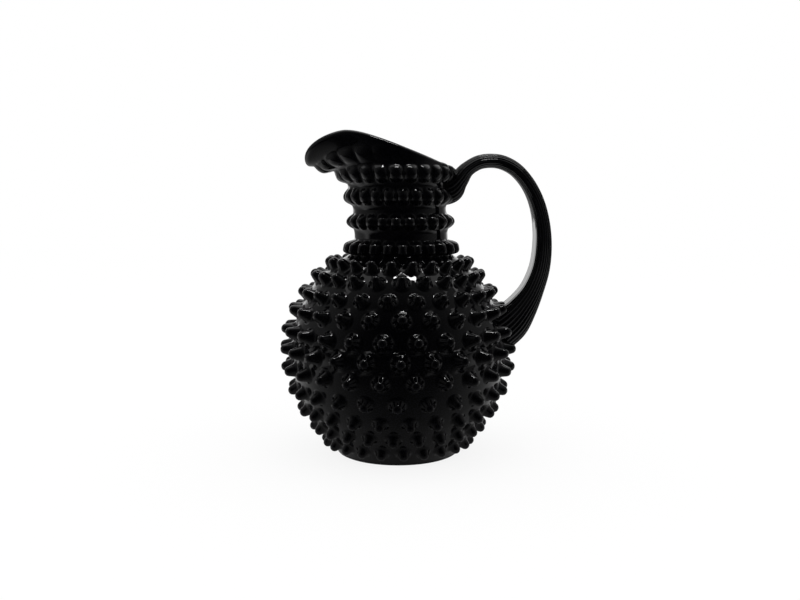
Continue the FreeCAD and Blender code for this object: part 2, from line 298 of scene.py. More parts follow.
def add_node(tree, kind, links=(), sockets=(), **settings):
    """Adds one node: its settings, the values of its inputs and the links into them."""
    node = tree.nodes.new(kind)
    for name, value in settings.items():
        setattr(node, name, value)
    for name, value in dict(sockets).items():
        node.inputs[name].default_value = value
    for name, source in dict(links).items():
        tree.links.new(source, node.inputs[name])
    return node


def add_object(name, data):
    """Puts an object made of this data into the scene."""
    made = bpy.data.objects.new(name, data)
    bpy.context.scene.collection.objects.link(made)
    return made


def eased(share):
    """A share from 0 to 1 that starts and ends slowly."""
    return share ** 2 * (3 - 2 * share)


def unit(vectors):
    """Vectors made one long."""
    return vectors / np.linalg.norm(vectors, axis=-1, keepdims=True)


def arc(centre_r, centre_z, radius, turns):
    """Points of an arc at these turns, without the first."""
    return [(centre_r + radius * math.cos(turn), centre_z + radius * math.sin(turn))
            for turn in turns[1:]]


def wall_line():
    """The wall's outer line from the heel up to past the rim: length, radius and height."""
    heel = FOOT_R - DISC_R
    points = [(DISC_R + heel * math.sin(turn), FOOT_EDGE_Z * (1 - math.cos(turn)))
              for turn in np.linspace(0, math.pi / 2, HEEL_SAMPLES)]
    start = np.array((FOOT_R, FOOT_EDGE_Z))
    end = np.array((BULB_R * math.cos(FOOT_TURN), BULB_Z - BULB_R * math.sin(FOOT_TURN)))
    points += [tuple(start + (end - start) * share)
               for share in np.linspace(0, 1, CONE_SAMPLES)[1:]]
    points += arc(0.0, BULB_Z, BULB_R, np.linspace(-FOOT_TURN, 0, BULB_SAMPLES))
    points += arc(SHOULDER_X, BULB_Z, SHOULDER_R,
                  np.linspace(0, SHOULDER_TURN, SHOULDER_SAMPLES))
    points += arc(NECK_R + HOLLOW_R, NECK_START_Z, HOLLOW_R,
                  np.linspace(math.pi + SHOULDER_TURN, math.pi, HOLLOW_SAMPLES))
    points += [(neck_radius(height), height)
               for height in np.linspace(NECK_START_Z, PLAIN_TOP_Z, NECK_SAMPLES)[1:]]
    line = np.array(points)
    length = np.concatenate([[0], np.cumsum(np.hypot(*np.diff(line, axis=0).T))])
    return length, line[:, 0], line[:, 1]


def neck_radius(height):
    """Outer radius of the neck and mouth at a height, before the lip is bent."""
    flare = np.clip((height - NECK_JOIN_Z) / (FLARE_END_Z - NECK_JOIN_Z), 0, 1)
    return NECK_R + (MOUTH_R - NECK_R) * eased(flare)


LINE_LENGTH, LINE_R, LINE_Z = wall_line()


def length_at(height):
    """Length along the wall's line at a height above the bulb's widest line."""
    upper = LINE_Z > BULB_Z
    return np.interp(height, LINE_Z[upper], LINE_LENGTH[upper])


EQUATOR_LENGTH = float(LINE_LENGTH[np.argmax(LINE_R)])
UPPER_HOBBED = SHOULDER_R * SHOULDER_TURN * TOP_ROW_SHARE
HOBBED_LENGTH = UPPER_HOBBED + BULB_R * FOOT_TURN + FOOT_CONE * BOTTOM_ROW_SHARE


def lattice_rows():
    """All rows of hobs and beads from the foot up, as dictionaries of their sizes."""
    rows = []
    for place, height, twist in zip(HOB_PLACES, HOB_HEIGHTS, HOB_TWISTS):
        rows.append({"length": EQUATOR_LENGTH + UPPER_HOBBED - place * HOBBED_LENGTH,
                     "height": HOB_HEIGHT * height, "twist": math.radians(twist), "kind": "hob"})
    rows.reverse()
    for place, reach, half, twist, bluntness, ring_share, body_share in zip(
            BEAD_PLACES, BEAD_REACHES, BEAD_HALF_HEIGHTS, BEAD_TWISTS, BEAD_BLUNTNESS,
            BEAD_RING_SHARES, BEAD_BODY_SHARES):
        rows.append({"length": float(length_at(NECK_START_Z + place * NECK_RISE)),
                     "height": reach, "half": half, "twist": math.radians(twist),
                     "kind": "bead", "bluntness": bluntness, "ring_share": ring_share,
                     "body_share": body_share, "fade": 0.0})
    rows[-1]["fade"] = TOP_BEAD_FADE
    for index, row in enumerate(rows):
        row["radius"] = float(np.interp(row["length"], LINE_LENGTH, LINE_R))
        row["stagger"] = 0.5 if index % 2 == 0 else 0.0
    return rows


ROWS = lattice_rows()
HOB_ROWS = len(HOB_PLACES)
PITCH = 2 * math.pi / HOBS_PER_ROW


def twist_at(length):
    """Turn of the lattice at a length along the wall."""
    return np.interp(length, [row["length"] for row in ROWS], [row["twist"] for row in ROWS])


def seam_shift(turn, length):
    """How far the mould's joint moves the hobs round; it fades out up the neck."""
    side = np.sin(turn - SEAM_TURN)
    fade = np.clip((ROWS[HOB_ROWS + 1]["length"] - length)
                   / (ROWS[HOB_ROWS + 1]["length"] - ROWS[HOB_ROWS - 1]["length"]), 0, 1)
    return SEAM_SHIFT * fade * side / np.sqrt(side ** 2 + SEAM_SOFTNESS ** 2)


def hob_profile(height):
    """Where a hob's round tip ends, how high that is, and where its foot bends and ends."""
    edge = HOB_TIP_R * math.cos(HOB_FLANK)
    edge_height = height - HOB_TIP_R * (1 - math.sin(HOB_FLANK))
    drop = edge_height - HOB_FOOT_R
    foot = edge + (HOB_FOOT_R + drop * math.sin(HOB_FLANK)) / math.cos(HOB_FLANK)
    return edge, edge_height, foot - HOB_FOOT_R * math.cos(HOB_FLANK), foot


def hob_relief(distance, height):
    """Rise of one hob: a round tip, a steep straight flank and a small hollow foot."""
    edge, edge_height, bend, foot = hob_profile(height)
    tip = height - HOB_TIP_R + np.sqrt(np.clip(HOB_TIP_R ** 2 - distance ** 2, 0, None))
    flank = edge_height - (distance - edge) / math.tan(HOB_FLANK)
    hollow = HOB_FOOT_R - np.sqrt(np.clip(HOB_FOOT_R ** 2 - (foot - distance) ** 2, 0, None))
    return np.select([distance < edge, distance < bend, distance < foot],
                     [tip, flank, hollow], 0.0)


def bead_relief(across, along, row):
    """Rise of one bead: a smooth ring round the neck that carries a round rib.
    Both distances are shares of the bead's half width and half height."""
    ring = np.cos(np.clip(np.abs(along), 0, 1) * math.pi / 2)
    body = 1 - np.clip(np.abs(along) / row["body_share"], 0, 1) ** row["bluntness"]
    body = body ** BEAD_END_POWER
    width = BEAD_WIDTH * body ** BEAD_WIDTH_POWER + BEAD_LEAST_WIDTH
    side = 1 - np.clip(np.abs(across) / width, 0, 1) ** BEAD_SIDE_BLUNTNESS
    rib = body * side ** BEAD_SIDE_POWER
    return row["height"] * (row["ring_share"] * ring ** 2 + (1 - row["ring_share"]) * rib)


def relief(turn, length, clearance=None):
    """Rise of all hobs and beads over the plain wall, at turns and lengths along the wall.
    Clearance is the plain distance below the rim, under which beads fade."""
    total = np.zeros_like(length)
    for row in ROWS:
        near = np.abs(length - row["length"]) < RELIEF_REACH
        columns = (turn[near] - row["twist"]) / PITCH - row["stagger"]
        offset = columns - np.round(columns)
        along = length[near] - row["length"]
        if row["kind"] == "hob":
            rise = np.zeros_like(along)
            for neighbour in (-1, 0, 1):
                across = (offset + neighbour) * PITCH * row["radius"]
                rise += hob_relief(np.hypot(across, along), row["height"])
        else:
            rise = bead_relief(offset * 2, along / row["half"], row)
            rise = rise * ((1 - np.cos(turn[near])) / 2) ** row["fade"]
            if clearance is not None:
                room = clearance[near] + along
                fade = (room + RIM_FADE_START * row["half"]) / (RIM_FADE_LENGTH * row["half"])
                rise = rise * eased(np.clip(fade, 0, 1))
        total[near] += rise
    return total


def pulled(radius, height, turn):
    """Places on the plain wall, moved by the pulled pouring lip."""
    x = radius * np.cos(turn)
    y = radius * np.sin(turn)
    rise = np.clip(height - LIP_START_Z, 0, None)
    bend = np.minimum(rise / LIP_BEND_R, LIP_ANGLE)
    straight = np.clip(rise - LIP_BEND_R * LIP_ANGLE, 0, None)
    out = LIP_BEND_R * (1 - np.cos(bend)) + straight * math.sin(LIP_ANGLE)
    left = LIP_BEND_R * np.sin(bend) + straight * math.cos(LIP_ANGLE)
    nearness = (1 - np.cos(turn)) / 2
    pull = nearness ** LIP_PULL_POWER
    drop = nearness ** LIP_DROP_POWER
    squeeze = 1 - LIP_SQUEEZE * pull * out / MOUTH_R
    return np.stack([x - pull * out + lean(height), y * squeeze,
                     height - drop * (rise - left)], axis=-1)


def lean(height):
    """How far the blown neck stands off the axis at a height."""
    rising = np.clip((height - LEAN_START_Z) / (LEAN_MOST_Z - LEAN_START_Z), 0, 1)
    falling = np.clip((LEAN_END_Z - height) / (LEAN_END_Z - LEAN_MOST_Z), 0, 1)
    return NECK_LEAN * eased(np.minimum(rising, falling))


def wall_point(length, turn):
    """Place of the plain wall at a length along its line and a turn round the axis."""
    radius = np.interp(length, LINE_LENGTH, LINE_R)
    height = np.interp(length, LINE_LENGTH, LINE_Z)
    return pulled(radius, height, turn)


def wall_step(length, turn):
    """A short step up the plain wall."""
    return wall_point(length + LENGTH_STEP, turn) - wall_point(length - LENGTH_STEP, turn)


def wall_normal(length, turn):
    """Outward normal of the plain wall."""
    around = wall_point(length, turn + TURN_STEP) - wall_point(length, turn - TURN_STEP)
    return unit(np.cross(around, wall_step(length, turn)))


def rim_line(x):
    """Height of the rim over a place along the jug."""
    front = np.clip((CROWN_X - x) / (SPOUT_REACH + CROWN_X), 0, 1)
    beak = SPOUT_TIP_Z + (JUG_HEIGHT - SPOUT_TIP_Z) * np.sqrt(1 - front ** BEAK_POWER)
    back = np.clip((x - CROWN_X) / (MOUTH_R - CROWN_X), 0, None)
    fallen = np.hypot(back, RIM_BEND) - RIM_BEND
    full = math.hypot(1, RIM_BEND) - RIM_BEND
    past_tip = np.clip(-x - SPOUT_REACH, 0, None)
    return np.where(x < CROWN_X, beak - TIP_CUT_SLOPE * past_tip,
                    JUG_HEIGHT - (JUG_HEIGHT - RIM_BACK_Z) * fallen / full)


def rim_length(turn):
    """Length along the wall's line at which it meets the rim, found by halving."""
    low = np.full_like(turn, float(length_at(NECK_JOIN_Z)))
    high = np.full_like(turn, float(LINE_LENGTH[-1]))
    for _ in range(RIM_HALVINGS):
        middle = (low + high) / 2
        point = wall_point(middle, turn)
        below = point[..., 2] < rim_line(point[..., 0])
        low = np.where(below, middle, low)
        high = np.where(below, high, middle)
    return low


class Skin:
    """Vertices and faces of a growing mesh; shared borders are merged at the end."""

    def __init__(self):
        self.points = []
        self.faces = []
        self.count = 0

    def add(self, points, faces):
        """Adds points and faces that count from the first of them."""
        self.points.append(np.asarray(points, float).reshape(-1, 3))
        self.faces += [tuple(int(corner) + self.count for corner in face) for face in faces]
        self.count += len(self.points[-1])

    def add_grid(self, points):
        """Adds a grid of rows by columns, whose columns close round."""
        rows, columns = points.shape[:2]
        faces = []
        for row in range(rows - 1):
            for column in range(columns):
                right = (column + 1) % columns
                faces.append((row * columns + column, row * columns + right,
                              (row + 1) * columns + right, (row + 1) * columns + column))
        self.add(points, faces)

    def add_fan(self, centre, ring):
        """Closes a ring of points with triangles round a centre."""
        number = len(ring)
        self.add(np.vstack([centre, ring]),
                 [(0, 1 + step, 1 + (step + 1) % number) for step in range(number)])

    def build(self, name):
        """Makes the object, merges shared borders and smooths it."""
        mesh = bpy.data.meshes.new(name)
        mesh.from_pydata((np.concatenate(self.points) * MM).tolist(), [], self.faces)
        work = bmesh.new()
        work.from_mesh(mesh)
        bmesh.ops.remove_doubles(work, verts=work.verts, dist=MERGE_DISTANCE * MM)
        bmesh.ops.recalc_face_normals(work, faces=work.faces)
        work.to_mesh(mesh)
        work.free()
        mesh.shade_smooth()
        return add_object(name, mesh)


def hob_tile_mesh():
    """One flat cell of the lattice as rings round its hob, its ring and spoke on each point."""
    points = [(0.0, 0.0, 0.0)]
    marks = [(0, 0)]
    rings = len(HOB_RING_LIMITS)
    for ring in range(1, rings):
        for spoke in range(HOB_SPOKES):
            x, y = cell_border(spoke)
            points.append((x * ring / (rings - 1), y * ring / (rings - 1), 0.0))
            marks.append((ring, spoke))
    faces = [(0, 1 + spoke, 1 + (spoke + 1) % HOB_SPOKES) for spoke in range(HOB_SPOKES)]
    for ring in range(1, rings - 1):
        inner = 1 + (ring - 1) * HOB_SPOKES
        outer = inner + HOB_SPOKES
        for spoke in range(HOB_SPOKES):
            right = (spoke + 1) % HOB_SPOKES
            faces.append((inner + spoke, outer + spoke, outer + right, inner + right))
    mesh = bpy.data.meshes.new("hob_tile")
    mesh.from_pydata(points, [], faces)
    for place, name in enumerate(("ring", "spoke")):
        layer = mesh.attributes.new(name, "INT", "POINT")
        layer.data.foreach_set("value", [mark[place] for mark in marks])
    return mesh


def cell_border(spoke):
    """Place of a spoke's end on the border of a cell one wide and one high."""
    side, step = divmod(spoke, SPOKES_PER_SIDE)
    share = step / SPOKES_PER_SIDE - 0.5
    return [(0.5, share), (-share, 0.5), (-0.5, -share), (share, -0.5)][side]


def lattice_tree(material):
    """Repeats the tile over a staggered lattice, a row and column number on every point."""
    tree = bpy.data.node_groups.new("Hob lattice", "GeometryNodeTree")
    face = tree.interface
    face.new_socket("Geometry", in_out="INPUT", socket_type="NodeSocketGeometry")
    rows = face.new_socket("Rows", in_out="INPUT", socket_type="NodeSocketInt")
    columns = face.new_socket("Hobs per row", in_out="INPUT", socket_type="NodeSocketInt")
    face.new_socket("Geometry", in_out="OUTPUT", socket_type="NodeSocketGeometry")
    start = add_node(tree, "NodeGroupInput").outputs
    count = add_node(tree, "ShaderNodeMath", {0: start["Rows"], 1: start["Hobs per row"]},
                     operation="MULTIPLY")
    line = add_node(tree, "GeometryNodeMeshLine", {"Count": count.outputs[0]})
    index = add_node(tree, "GeometryNodeInputIndex")
    row_share = add_node(tree, "ShaderNodeMath", {0: index.outputs[0], 1: start["Hobs per row"]},
                         operation="DIVIDE")
    row = add_node(tree, "ShaderNodeMath", {0: row_share.outputs[0]}, operation="FLOOR")
    column = add_node(tree, "ShaderNodeMath", {0: index.outputs[0], 1: start["Hobs per row"]},
                      operation="MODULO")
    odd = add_node(tree, "ShaderNodeMath", {0: row.outputs[0]}, {1: 2.0}, operation="MODULO")
    stagger = add_node(tree, "ShaderNodeMath", {0: odd.outputs[0]}, {1: -0.5, 2: 0.5},
                       operation="MULTIPLY_ADD")
    across = add_node(tree, "ShaderNodeMath", {0: column.outputs[0], 1: stagger.outputs[0]},
                      operation="ADD")
    place = add_node(tree, "ShaderNodeCombineXYZ", {"X": across.outputs[0], "Y": row.outputs[0]})
    points = add_node(tree, "GeometryNodeSetPosition",
                      {"Geometry": line.outputs[0], "Position": place.outputs[0]})
    for name, value in (("row", row), ("column", across)):
        points = add_node(tree, "GeometryNodeStoreNamedAttribute",
                          {"Geometry": points.outputs[0], "Value": value.outputs[0]},
                          {"Name": name}, data_type="FLOAT", domain="POINT")
    copies = add_node(tree, "GeometryNodeInstanceOnPoints",
                      {"Points": points.outputs[0], "Instance": start["Geometry"]})
    real = add_node(tree, "GeometryNodeRealizeInstances", {"Geometry": copies.outputs[0]})
    clad = add_node(tree, "GeometryNodeSetMaterial", {"Geometry": real.outputs[0]},
                    {"Material": material})
    add_node(tree, "NodeGroupOutput", {0: clad.outputs[0]})
    return tree, {"Rows": rows.identifier, "Hobs per row": columns.identifier}


def flat_lattice(material):
    """The realised lattice: faces, and each point's row, column, ring and spoke."""
    tree, sockets = lattice_tree(material)
    holder = add_object("hob_lattice", hob_tile_mesh())
    modifier = holder.modifiers.new("Hob lattice", "NODES")
    modifier.node_group = tree
    modifier[sockets["Rows"]] = HOB_ROWS
    modifier[sockets["Hobs per row"]] = HOBS_PER_ROW
    graph = bpy.context.evaluated_depsgraph_get()
    graph.update()
    mesh = bpy.data.meshes.new_from_object(holder.evaluated_get(graph), depsgraph=graph)
    marks = {}
    for name in ("row", "column", "ring", "spoke"):
        layer = mesh.attributes[name]
        kind = np.float32 if layer.data_type == "FLOAT" else np.int32
        values = np.zeros(len(mesh.vertices), kind)
        layer.data.foreach_get("value", values)
        marks[name] = values
    faces = [tuple(polygon.vertices) for polygon in mesh.polygons]
    bpy.data.objects.remove(holder)
    bpy.data.meshes.remove(mesh)
    return faces, marks


def row_borders():
    """Lengths halfway between the rows, from below the lowest hobs to above the highest."""
    lengths = [row["length"] for row in ROWS[:HOB_ROWS + 1]]
    middles = [(low + high) / 2 for low, high in zip(lengths, lengths[1:])]
    return np.array([lengths[0] - (middles[0] - lengths[0])] + middles)


def ring_radii(height):
    """Radii of the rings round one hob, from its tip to just outside its foot."""
    edge, _, bend, foot = hob_profile(height)
    return [edge * share for share in HOB_TIP_RINGS] + [bend, foot, foot + HOB_WALL_RING, 0.0]


def add_hobs(skin, material):
    """Wraps the lattice of hobs round the bulb, and returns the borders of its rows."""
    faces, marks = flat_lattice(material)
    row = np.rint(marks["row"]).astype(int)
    ring = marks["ring"]
    spoke = marks["spoke"]
    hobs = ROWS[:HOB_ROWS]
    centre = np.array([hob["length"] for hob in hobs])[row]
    step = np.array([hob["radius"] * PITCH for hob in hobs])[row]
    borders = row_borders()
    corner = np.array([cell_border(index) for index in range(HOB_SPOKES)])[spoke]
    half = np.where(corner[:, 1] > 0, borders[row + 1] - centre, centre - borders[row])
    border_column = marks["column"] + corner[:, 0]
    border_length = centre + 2 * corner[:, 1] * half
    border_reach = np.hypot(corner[:, 0] * step, border_length - centre)
    radii = np.array([ring_radii(hob["height"]) for hob in hobs])
    reach = np.minimum(radii[row, ring], border_reach * np.array(HOB_RING_LIMITS)[ring])
    direction = (spoke - SPOKES_PER_SIDE / 2) * 2 * math.pi / HOB_SPOKES
    length = centre + reach * np.sin(direction)
    drift = (twist_at(length) - twist_at(centre)) / PITCH
    column = marks["column"] + reach * np.cos(direction) / step - drift
    on_border = ring == len(HOB_RING_LIMITS) - 1
    length = np.where(on_border, border_length, length)
    column = np.where(on_border, border_column, column)
    turn = column * PITCH + twist_at(length)
    rise = relief(turn, length)[:, None]
    turn = turn + seam_shift(turn, length)
    skin.add(wall_point(length, turn) + wall_normal(length, turn) * rise, faces)
    return borders


def outer_grid(lengths, columns):
    """Grid of the outer wall with its relief, one row for each list of lengths."""
    number = len(columns)
    turn = columns[None, :] * PITCH + twist_at(lengths)
    rim = np.tile(rim_length(columns * PITCH + ROWS[-1]["twist"]), (len(lengths), 1))
    rise = relief(turn.ravel(), lengths.ravel(), (rim - lengths).ravel()).reshape(-1, number)
    rise = rise + tip_swelling(turn, rim - lengths)
    turn = turn + seam_shift(turn, lengths)
    upright = np.maximum(lengths, length_at(NECK_START_Z))
    above_hobs = lengths - ROWS[HOB_ROWS - 1]["length"]
    level = np.clip(above_hobs / ROWS[HOB_ROWS]["half"], 0, 1)[..., None]
    normal = wall_normal(lengths, turn) * (1 - level) + wall_normal(upright, turn) * level
    return wall_point(lengths, turn) + normal * rise[..., None]


def tip_swelling(turn, clearance):
    """How much fuller the glass is under the pouring tip, by its distance below the rim."""
    nearness = ((1 - np.cos(turn)) / 2) ** TIP_SWELLING_POWER
    fade = np.clip(1 - clearance / TIP_SWELLING_LENGTH, 0, 1)
    return TIP_SWELLING * nearness * eased(fade)


def hob_columns():
    """Places of the columns of points along the hobs' borders, counted in hobs."""
    return np.arange(HOBS_PER_ROW * SPOKES_PER_SIDE) / SPOKES_PER_SIDE


def level_ring(radius, turn, height):
    """A level ring of points round the axis."""
    return np.stack([radius * np.cos(turn), radius * np.sin(turn),
                     np.full_like(turn, height)], -1)


def add_foot(skin, low_border):
    """Wall below the hobs, the heel and the ground base with its shallow kick."""
    columns = hob_columns()
    lengths = np.linspace(0, low_border, FOOT_ROWS)
    grid = outer_grid(np.tile(lengths[:, None], (1, len(columns))), columns)
    turn = columns * PITCH + twist_at(0.0)
    rows = [level_ring(radius, turn, height) for radius, height in BASE_RINGS]
    skin.add_grid(np.stack(rows + list(grid)))
    skin.add_fan((0.0, 0.0, BASE_RINGS[0][1]), rows[0])


def add_neck(skin, high_border):
    """Neck with its beads, mouth, rounded rim and smooth inside down to the floor."""
    coarse = hob_columns()
    fine = np.arange(NECK_COLUMNS) * HOBS_PER_ROW / NECK_COLUMNS
    level_top = float(length_at(LEVEL_TOP_Z))
    level = np.linspace(high_border + FIRST_ROW_GAP, level_top, LEVEL_ROWS)
    rim_turn = fine * PITCH + ROWS[-1]["twist"]
    rim = rim_length(rim_turn)
    half = (RIM_THICKNESS + tip_swelling(rim_turn, np.zeros_like(rim_turn))) / 2
    top = rim - half
    shares = np.linspace(0, 1, UPPER_ROWS)[1:]
    upper = level_top + shares[:, None] * (top - level_top)[None, :]
    lengths = np.vstack([np.tile(level[:, None], (1, NECK_COLUMNS)), upper])
    outside = outer_grid(lengths, fine)
    low_row = outer_grid(np.full((1, len(coarse)), high_border), coarse)[0]
    join_rows(skin, low_row, outside[0])
    turn = fine * PITCH + twist_at(top)
    normal = wall_normal(top, turn)
    along = unit(wall_step(top, turn))
    middle = outside[-1] - normal * half[:, None]
    rounding = [middle + (normal * math.cos(bend) + along * math.sin(bend)) * half[:, None]
                for bend in np.linspace(0, math.pi, RIM_ROWS)[1:]]
    skin.add_grid(np.vstack([outside, np.stack(rounding)]))
    add_inside(skin, fine, top, rounding[-1])


def join_rows(skin, coarse_row, fine_row):
    """Joins a row of points to one above it that has a whole number of times as many."""
    number = len(coarse_row)
    finer = len(fine_row) // number
    faces = []
    for step in range(number):
        right = (step + 1) % number
        above = [number + (finer * step + part) % len(fine_row) for part in range(finer + 1)]
        faces += [(step, above[part + 1], above[part]) for part in range(finer // 2)]
        faces.append((step, right, above[finer // 2]))
        faces += [(right, above[part + 1], above[part]) for part in range(finer // 2, finer)]
    skin.add(np.vstack([coarse_row, fine_row]), faces)


def add_inside(skin, columns, top, first_row):
    """Inner wall from the rim down to the floor."""
    rows = [first_row]
    bottom = EQUATOR_LENGTH
    for share in np.linspace(0, 1, INNER_ROWS)[1:]:
        length = top + share * (bottom - top)
        turn = columns * PITCH + twist_at(length)
        thickness = WALL + (RIM_THICKNESS - WALL) * (1 - share) ** RIM_BLEND_POWER
        rows.append(wall_point(length, turn) - wall_normal(length, turn) * thickness)
    inner = BULB_R - WALL
    floor_turn = math.asin((BULB_Z - FLOOR) / inner)
    turn = columns * PITCH + twist_at(bottom)
    for bend in np.linspace(0, floor_turn, FLOOR_ROWS)[1:]:
        rows.append(level_ring(inner * math.cos(bend), turn, BULB_Z - inner * math.sin(bend)))
    skin.add_grid(np.stack(rows))
    skin.add_fan((0.0, 0.0, FLOOR), rows[-1])


def smooth_through(values, count):
    """Evenly spaced samples of a smooth curve through a list of numbers."""
    values = np.asarray(values, float)
    places = np.linspace(0, len(values) - 1, count)
    padded = np.concatenate([[2 * values[0] - values[1]], values,
                             [2 * values[-1] - values[-2]]])
    index = np.minimum(places.astype(int), len(values) - 2)
    part = places - index
    before, start, end, after = (padded[index + step] for step in range(4))
    return 0.5 * (2 * start + (end - before) * part
                  + (2 * before - 5 * start + 4 * end - after) * part ** 2
                  + (3 * start - before - 3 * end + after) * part ** 3)


class JugSizes(bpy.types.PropertyGroup):
    """Sizes and colours of the jug that a user would change."""

    reed_depth: bpy.props.FloatProperty(
        name="Reed depth", description="How far the handle's reeds stand out",
        default=0.7 * MM, unit="LENGTH")
    reed_pitch: bpy.props.FloatProperty(
        name="Reed pitch", description="Distance from reed to reed across the handle",
        default=1.9 * MM, unit="LENGTH")
    glass_colour: bpy.props.FloatVectorProperty(
        name="Glass colour", description="Body colour of the black glass",
        default=linear_colour("020203"), size=4, subtype="COLOR")
    glass_roughness: bpy.props.FloatProperty(
        name="Glass roughness", description="Polish of the fired surface",
        default=0.025, min=0.0, max=1.0, subtype="FACTOR")


def black_glass(sizes):
    """Opaque black soda glass, mould blown and fire polished: a deep mirror-like shine that
    the mould leaves slightly wavy."""
    material = bpy.data.materials.new(GLASS_NAME)
    material.use_nodes = True
    tree = material.node_tree
    shader = tree.nodes["Principled BSDF"]
    shader.inputs["Base Color"].default_value = sizes.glass_colour
    shader.inputs["Roughness"].default_value = sizes.glass_roughness
    shader.inputs["IOR"].default_value = GLASS_IOR
    place = add_node(tree, "ShaderNodeTexCoord")
    wave = add_node(tree, "ShaderNodeTexNoise", {"Vector": place.outputs["Object"]},
                    {"Scale": WAVES_OVER_HEIGHT / (JUG_HEIGHT * MM), "Detail": WAVE_DETAIL,
                     "Roughness": WAVE_ROUGHNESS})
    bump = add_node(tree, "ShaderNodeBump", {"Height": wave.outputs[0]},
                    {"Strength": WAVE_STRENGTH, "Distance": WAVE_DEPTH * MM})
    tree.links.new(bump.outputs["Normal"], shader.inputs["Normal"])
    return material


def shared_glass(context):
    """The jug's glass, made once."""
    found = bpy.data.materials.get(GLASS_NAME)
    return found or black_glass(context.scene.jug_sizes)


class MESH_OT_jug_skin(bpy.types.Operator):
    """Makes the blown body with its hobs, beads, mouth, lip and base"""

    bl_idname = "mesh.jug_skin"
    bl_label = "Blown Body"

    def execute(self, context):
        glass = shared_glass(context)
        skin = Skin()
        borders = add_hobs(skin, glass)
        add_foot(skin, borders[0])
        add_neck(skin, borders[-1])
        piece = skin.build("blown_body")
        piece.data.materials.append(glass)
        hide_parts("body", "bulb_hobs", "neck_beads")
        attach(piece, "root")
        return {"FINISHED"}


def girth_points(half_thickness, half_width, flatness):
    """Outline of the strap's section from the middle of its smooth face round, and how far
    along the outline each point lies."""
    angle = np.linspace(-math.pi / 2, 1.5 * math.pi, GIRTH_SAMPLES)
    cosine, sine = np.cos(angle), np.sin(angle)
    inner = sine < 0
    widest = WIDEST_SHARE * flatness
    inner_roundness = ROUND_INSIDE + (FLAT_INSIDE - ROUND_INSIDE) * flatness
    roundness = np.where(inner, inner_roundness, OUTER_ROUNDNESS)
    across = half_width * np.sign(cosine) * np.abs(cosine) ** roundness
    through = np.sign(sine) * np.abs(sine) ** roundness
    through = half_thickness * (through * np.where(inner, 1 - widest, 1 + widest) - widest)
    run = np.concatenate([[0], np.cumsum(np.hypot(np.diff(across), np.diff(through)))])
    return across, through, run


def strap_section(half_thickness, half_width, flatness, reeds, depth):
    """Points of one section: reeds side by side round the outer face and both edges."""
    across, through, run = girth_points(half_thickness, half_width, flatness)
    first = (LEAST_SMOOTH_FACE + (SMOOTH_FACE - LEAST_SMOOTH_FACE) * flatness) / 2
    reeded = np.linspace(first, run[-1] - first, reeds * POINTS_PER_REED + 1)
    smooth = np.linspace(-first, first, SMOOTH_FACE_POINTS + 1)[1:-1] % run[-1]
    places = np.concatenate([reeded, smooth])
    rise = np.abs(np.sin(np.arange(len(reeded)) * math.pi / POINTS_PER_REED))
    rise = np.concatenate([rise, np.full(len(smooth), SMOOTH_FACE_RISE)])
    outline = np.stack([np.interp(places, run, across), np.interp(places, run, through)], -1)
    return outline - unit(outline) * (depth * (1 - rise))[:, None]


def strap_grid(sizes):
    """All sections along the strap's middle line."""
    line = {}
    for name, table, scale in (("x", HANDLE_X, HANDLE_REACH), ("z", HANDLE_Z, JUG_HEIGHT),
                               ("thick", HANDLE_THICK, STRAP_THICKNESS / 2),
                               ("wide", HANDLE_WIDTH, STRAP_WIDTH / 2)):
        line[name] = smooth_through(np.array(table) * scale, STRAP_STATIONS)
    along = unit(np.stack([np.gradient(line["x"]), np.gradient(line["z"])], -1))
    girth = girth_points(STRAP_THICKNESS / 2, STRAP_WIDTH / 2, 1.0)[2][-1]
    reeds = round((girth - SMOOTH_FACE) * MM / sizes.reed_pitch)
    depths = smooth_through(np.array(REED_DEPTHS) * sizes.reed_depth / MM, STRAP_STATIONS)
    flatness = np.clip(smooth_through(FLATNESS, STRAP_STATIONS), 0, 1)
    rows = []
    for station in range(STRAP_STATIONS):
        across, through = strap_section(line["thick"][station], line["wide"][station],
                                        flatness[station], reeds, depths[station]).T
        rows.append(np.stack([line["x"][station] - along[station, 1] * through, across,
                              line["z"][station] + along[station, 0] * through], -1))
    return np.stack(rows)


class MESH_OT_jug_handle(bpy.types.Operator):
    """Makes the reeded strap handle, laid on the neck and the bulb"""

    bl_idname = "mesh.jug_handle"
    bl_label = "Reeded Handle"

    def execute(self, context):
        grid = cut_ends(strap_grid(context.scene.jug_sizes))
        skin = Skin()
        skin.add_grid(grid)
        for row in (grid[0], grid[-1]):
            skin.add_fan(row.mean(axis=0), row)
        piece = skin.build("reeded_handle")
        piece.data.materials.append(shared_glass(context))
        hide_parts("handle")
        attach(piece, "root")
        return {"FINISHED"}


def wall_depth(points):
    """How far points stand outside the middle of the blown wall's thickness."""
    radius = np.hypot(points[..., 0], points[..., 1])
    bulb = np.hypot(radius, points[..., 2] - BULB_Z) - (BULB_R - WALL / 2)
    neck = radius - (neck_radius(points[..., 2]) - WALL / 2)
    return np.where(points[..., 2] > BULB_TOP_Z, neck, bulb)


def crossing(depth, row, step):
    """Place between a row outside the wall and the next one that way, where a line meets it."""
    if not 0 <= row + step < len(depth):
        return float(row)
    return row + step * depth[row] / (depth[row] - depth[row + step])


def cut_ends(grid):
    """Trims every line along the strap where it dips into the wall, and spaces it anew."""
    rows = grid.shape[0]
    result = np.empty_like(grid)
    depth = wall_depth(grid)
    for column in range(grid.shape[1]):
        outside = np.nonzero(depth[:, column] > 0)[0]
        places = np.linspace(crossing(depth[:, column], outside[0], -1),
                             crossing(depth[:, column], outside[-1], 1), rows)
        for axis in range(3):
            result[:, column, axis] = np.interp(places, np.arange(rows), grid[:, column, axis])
    return result


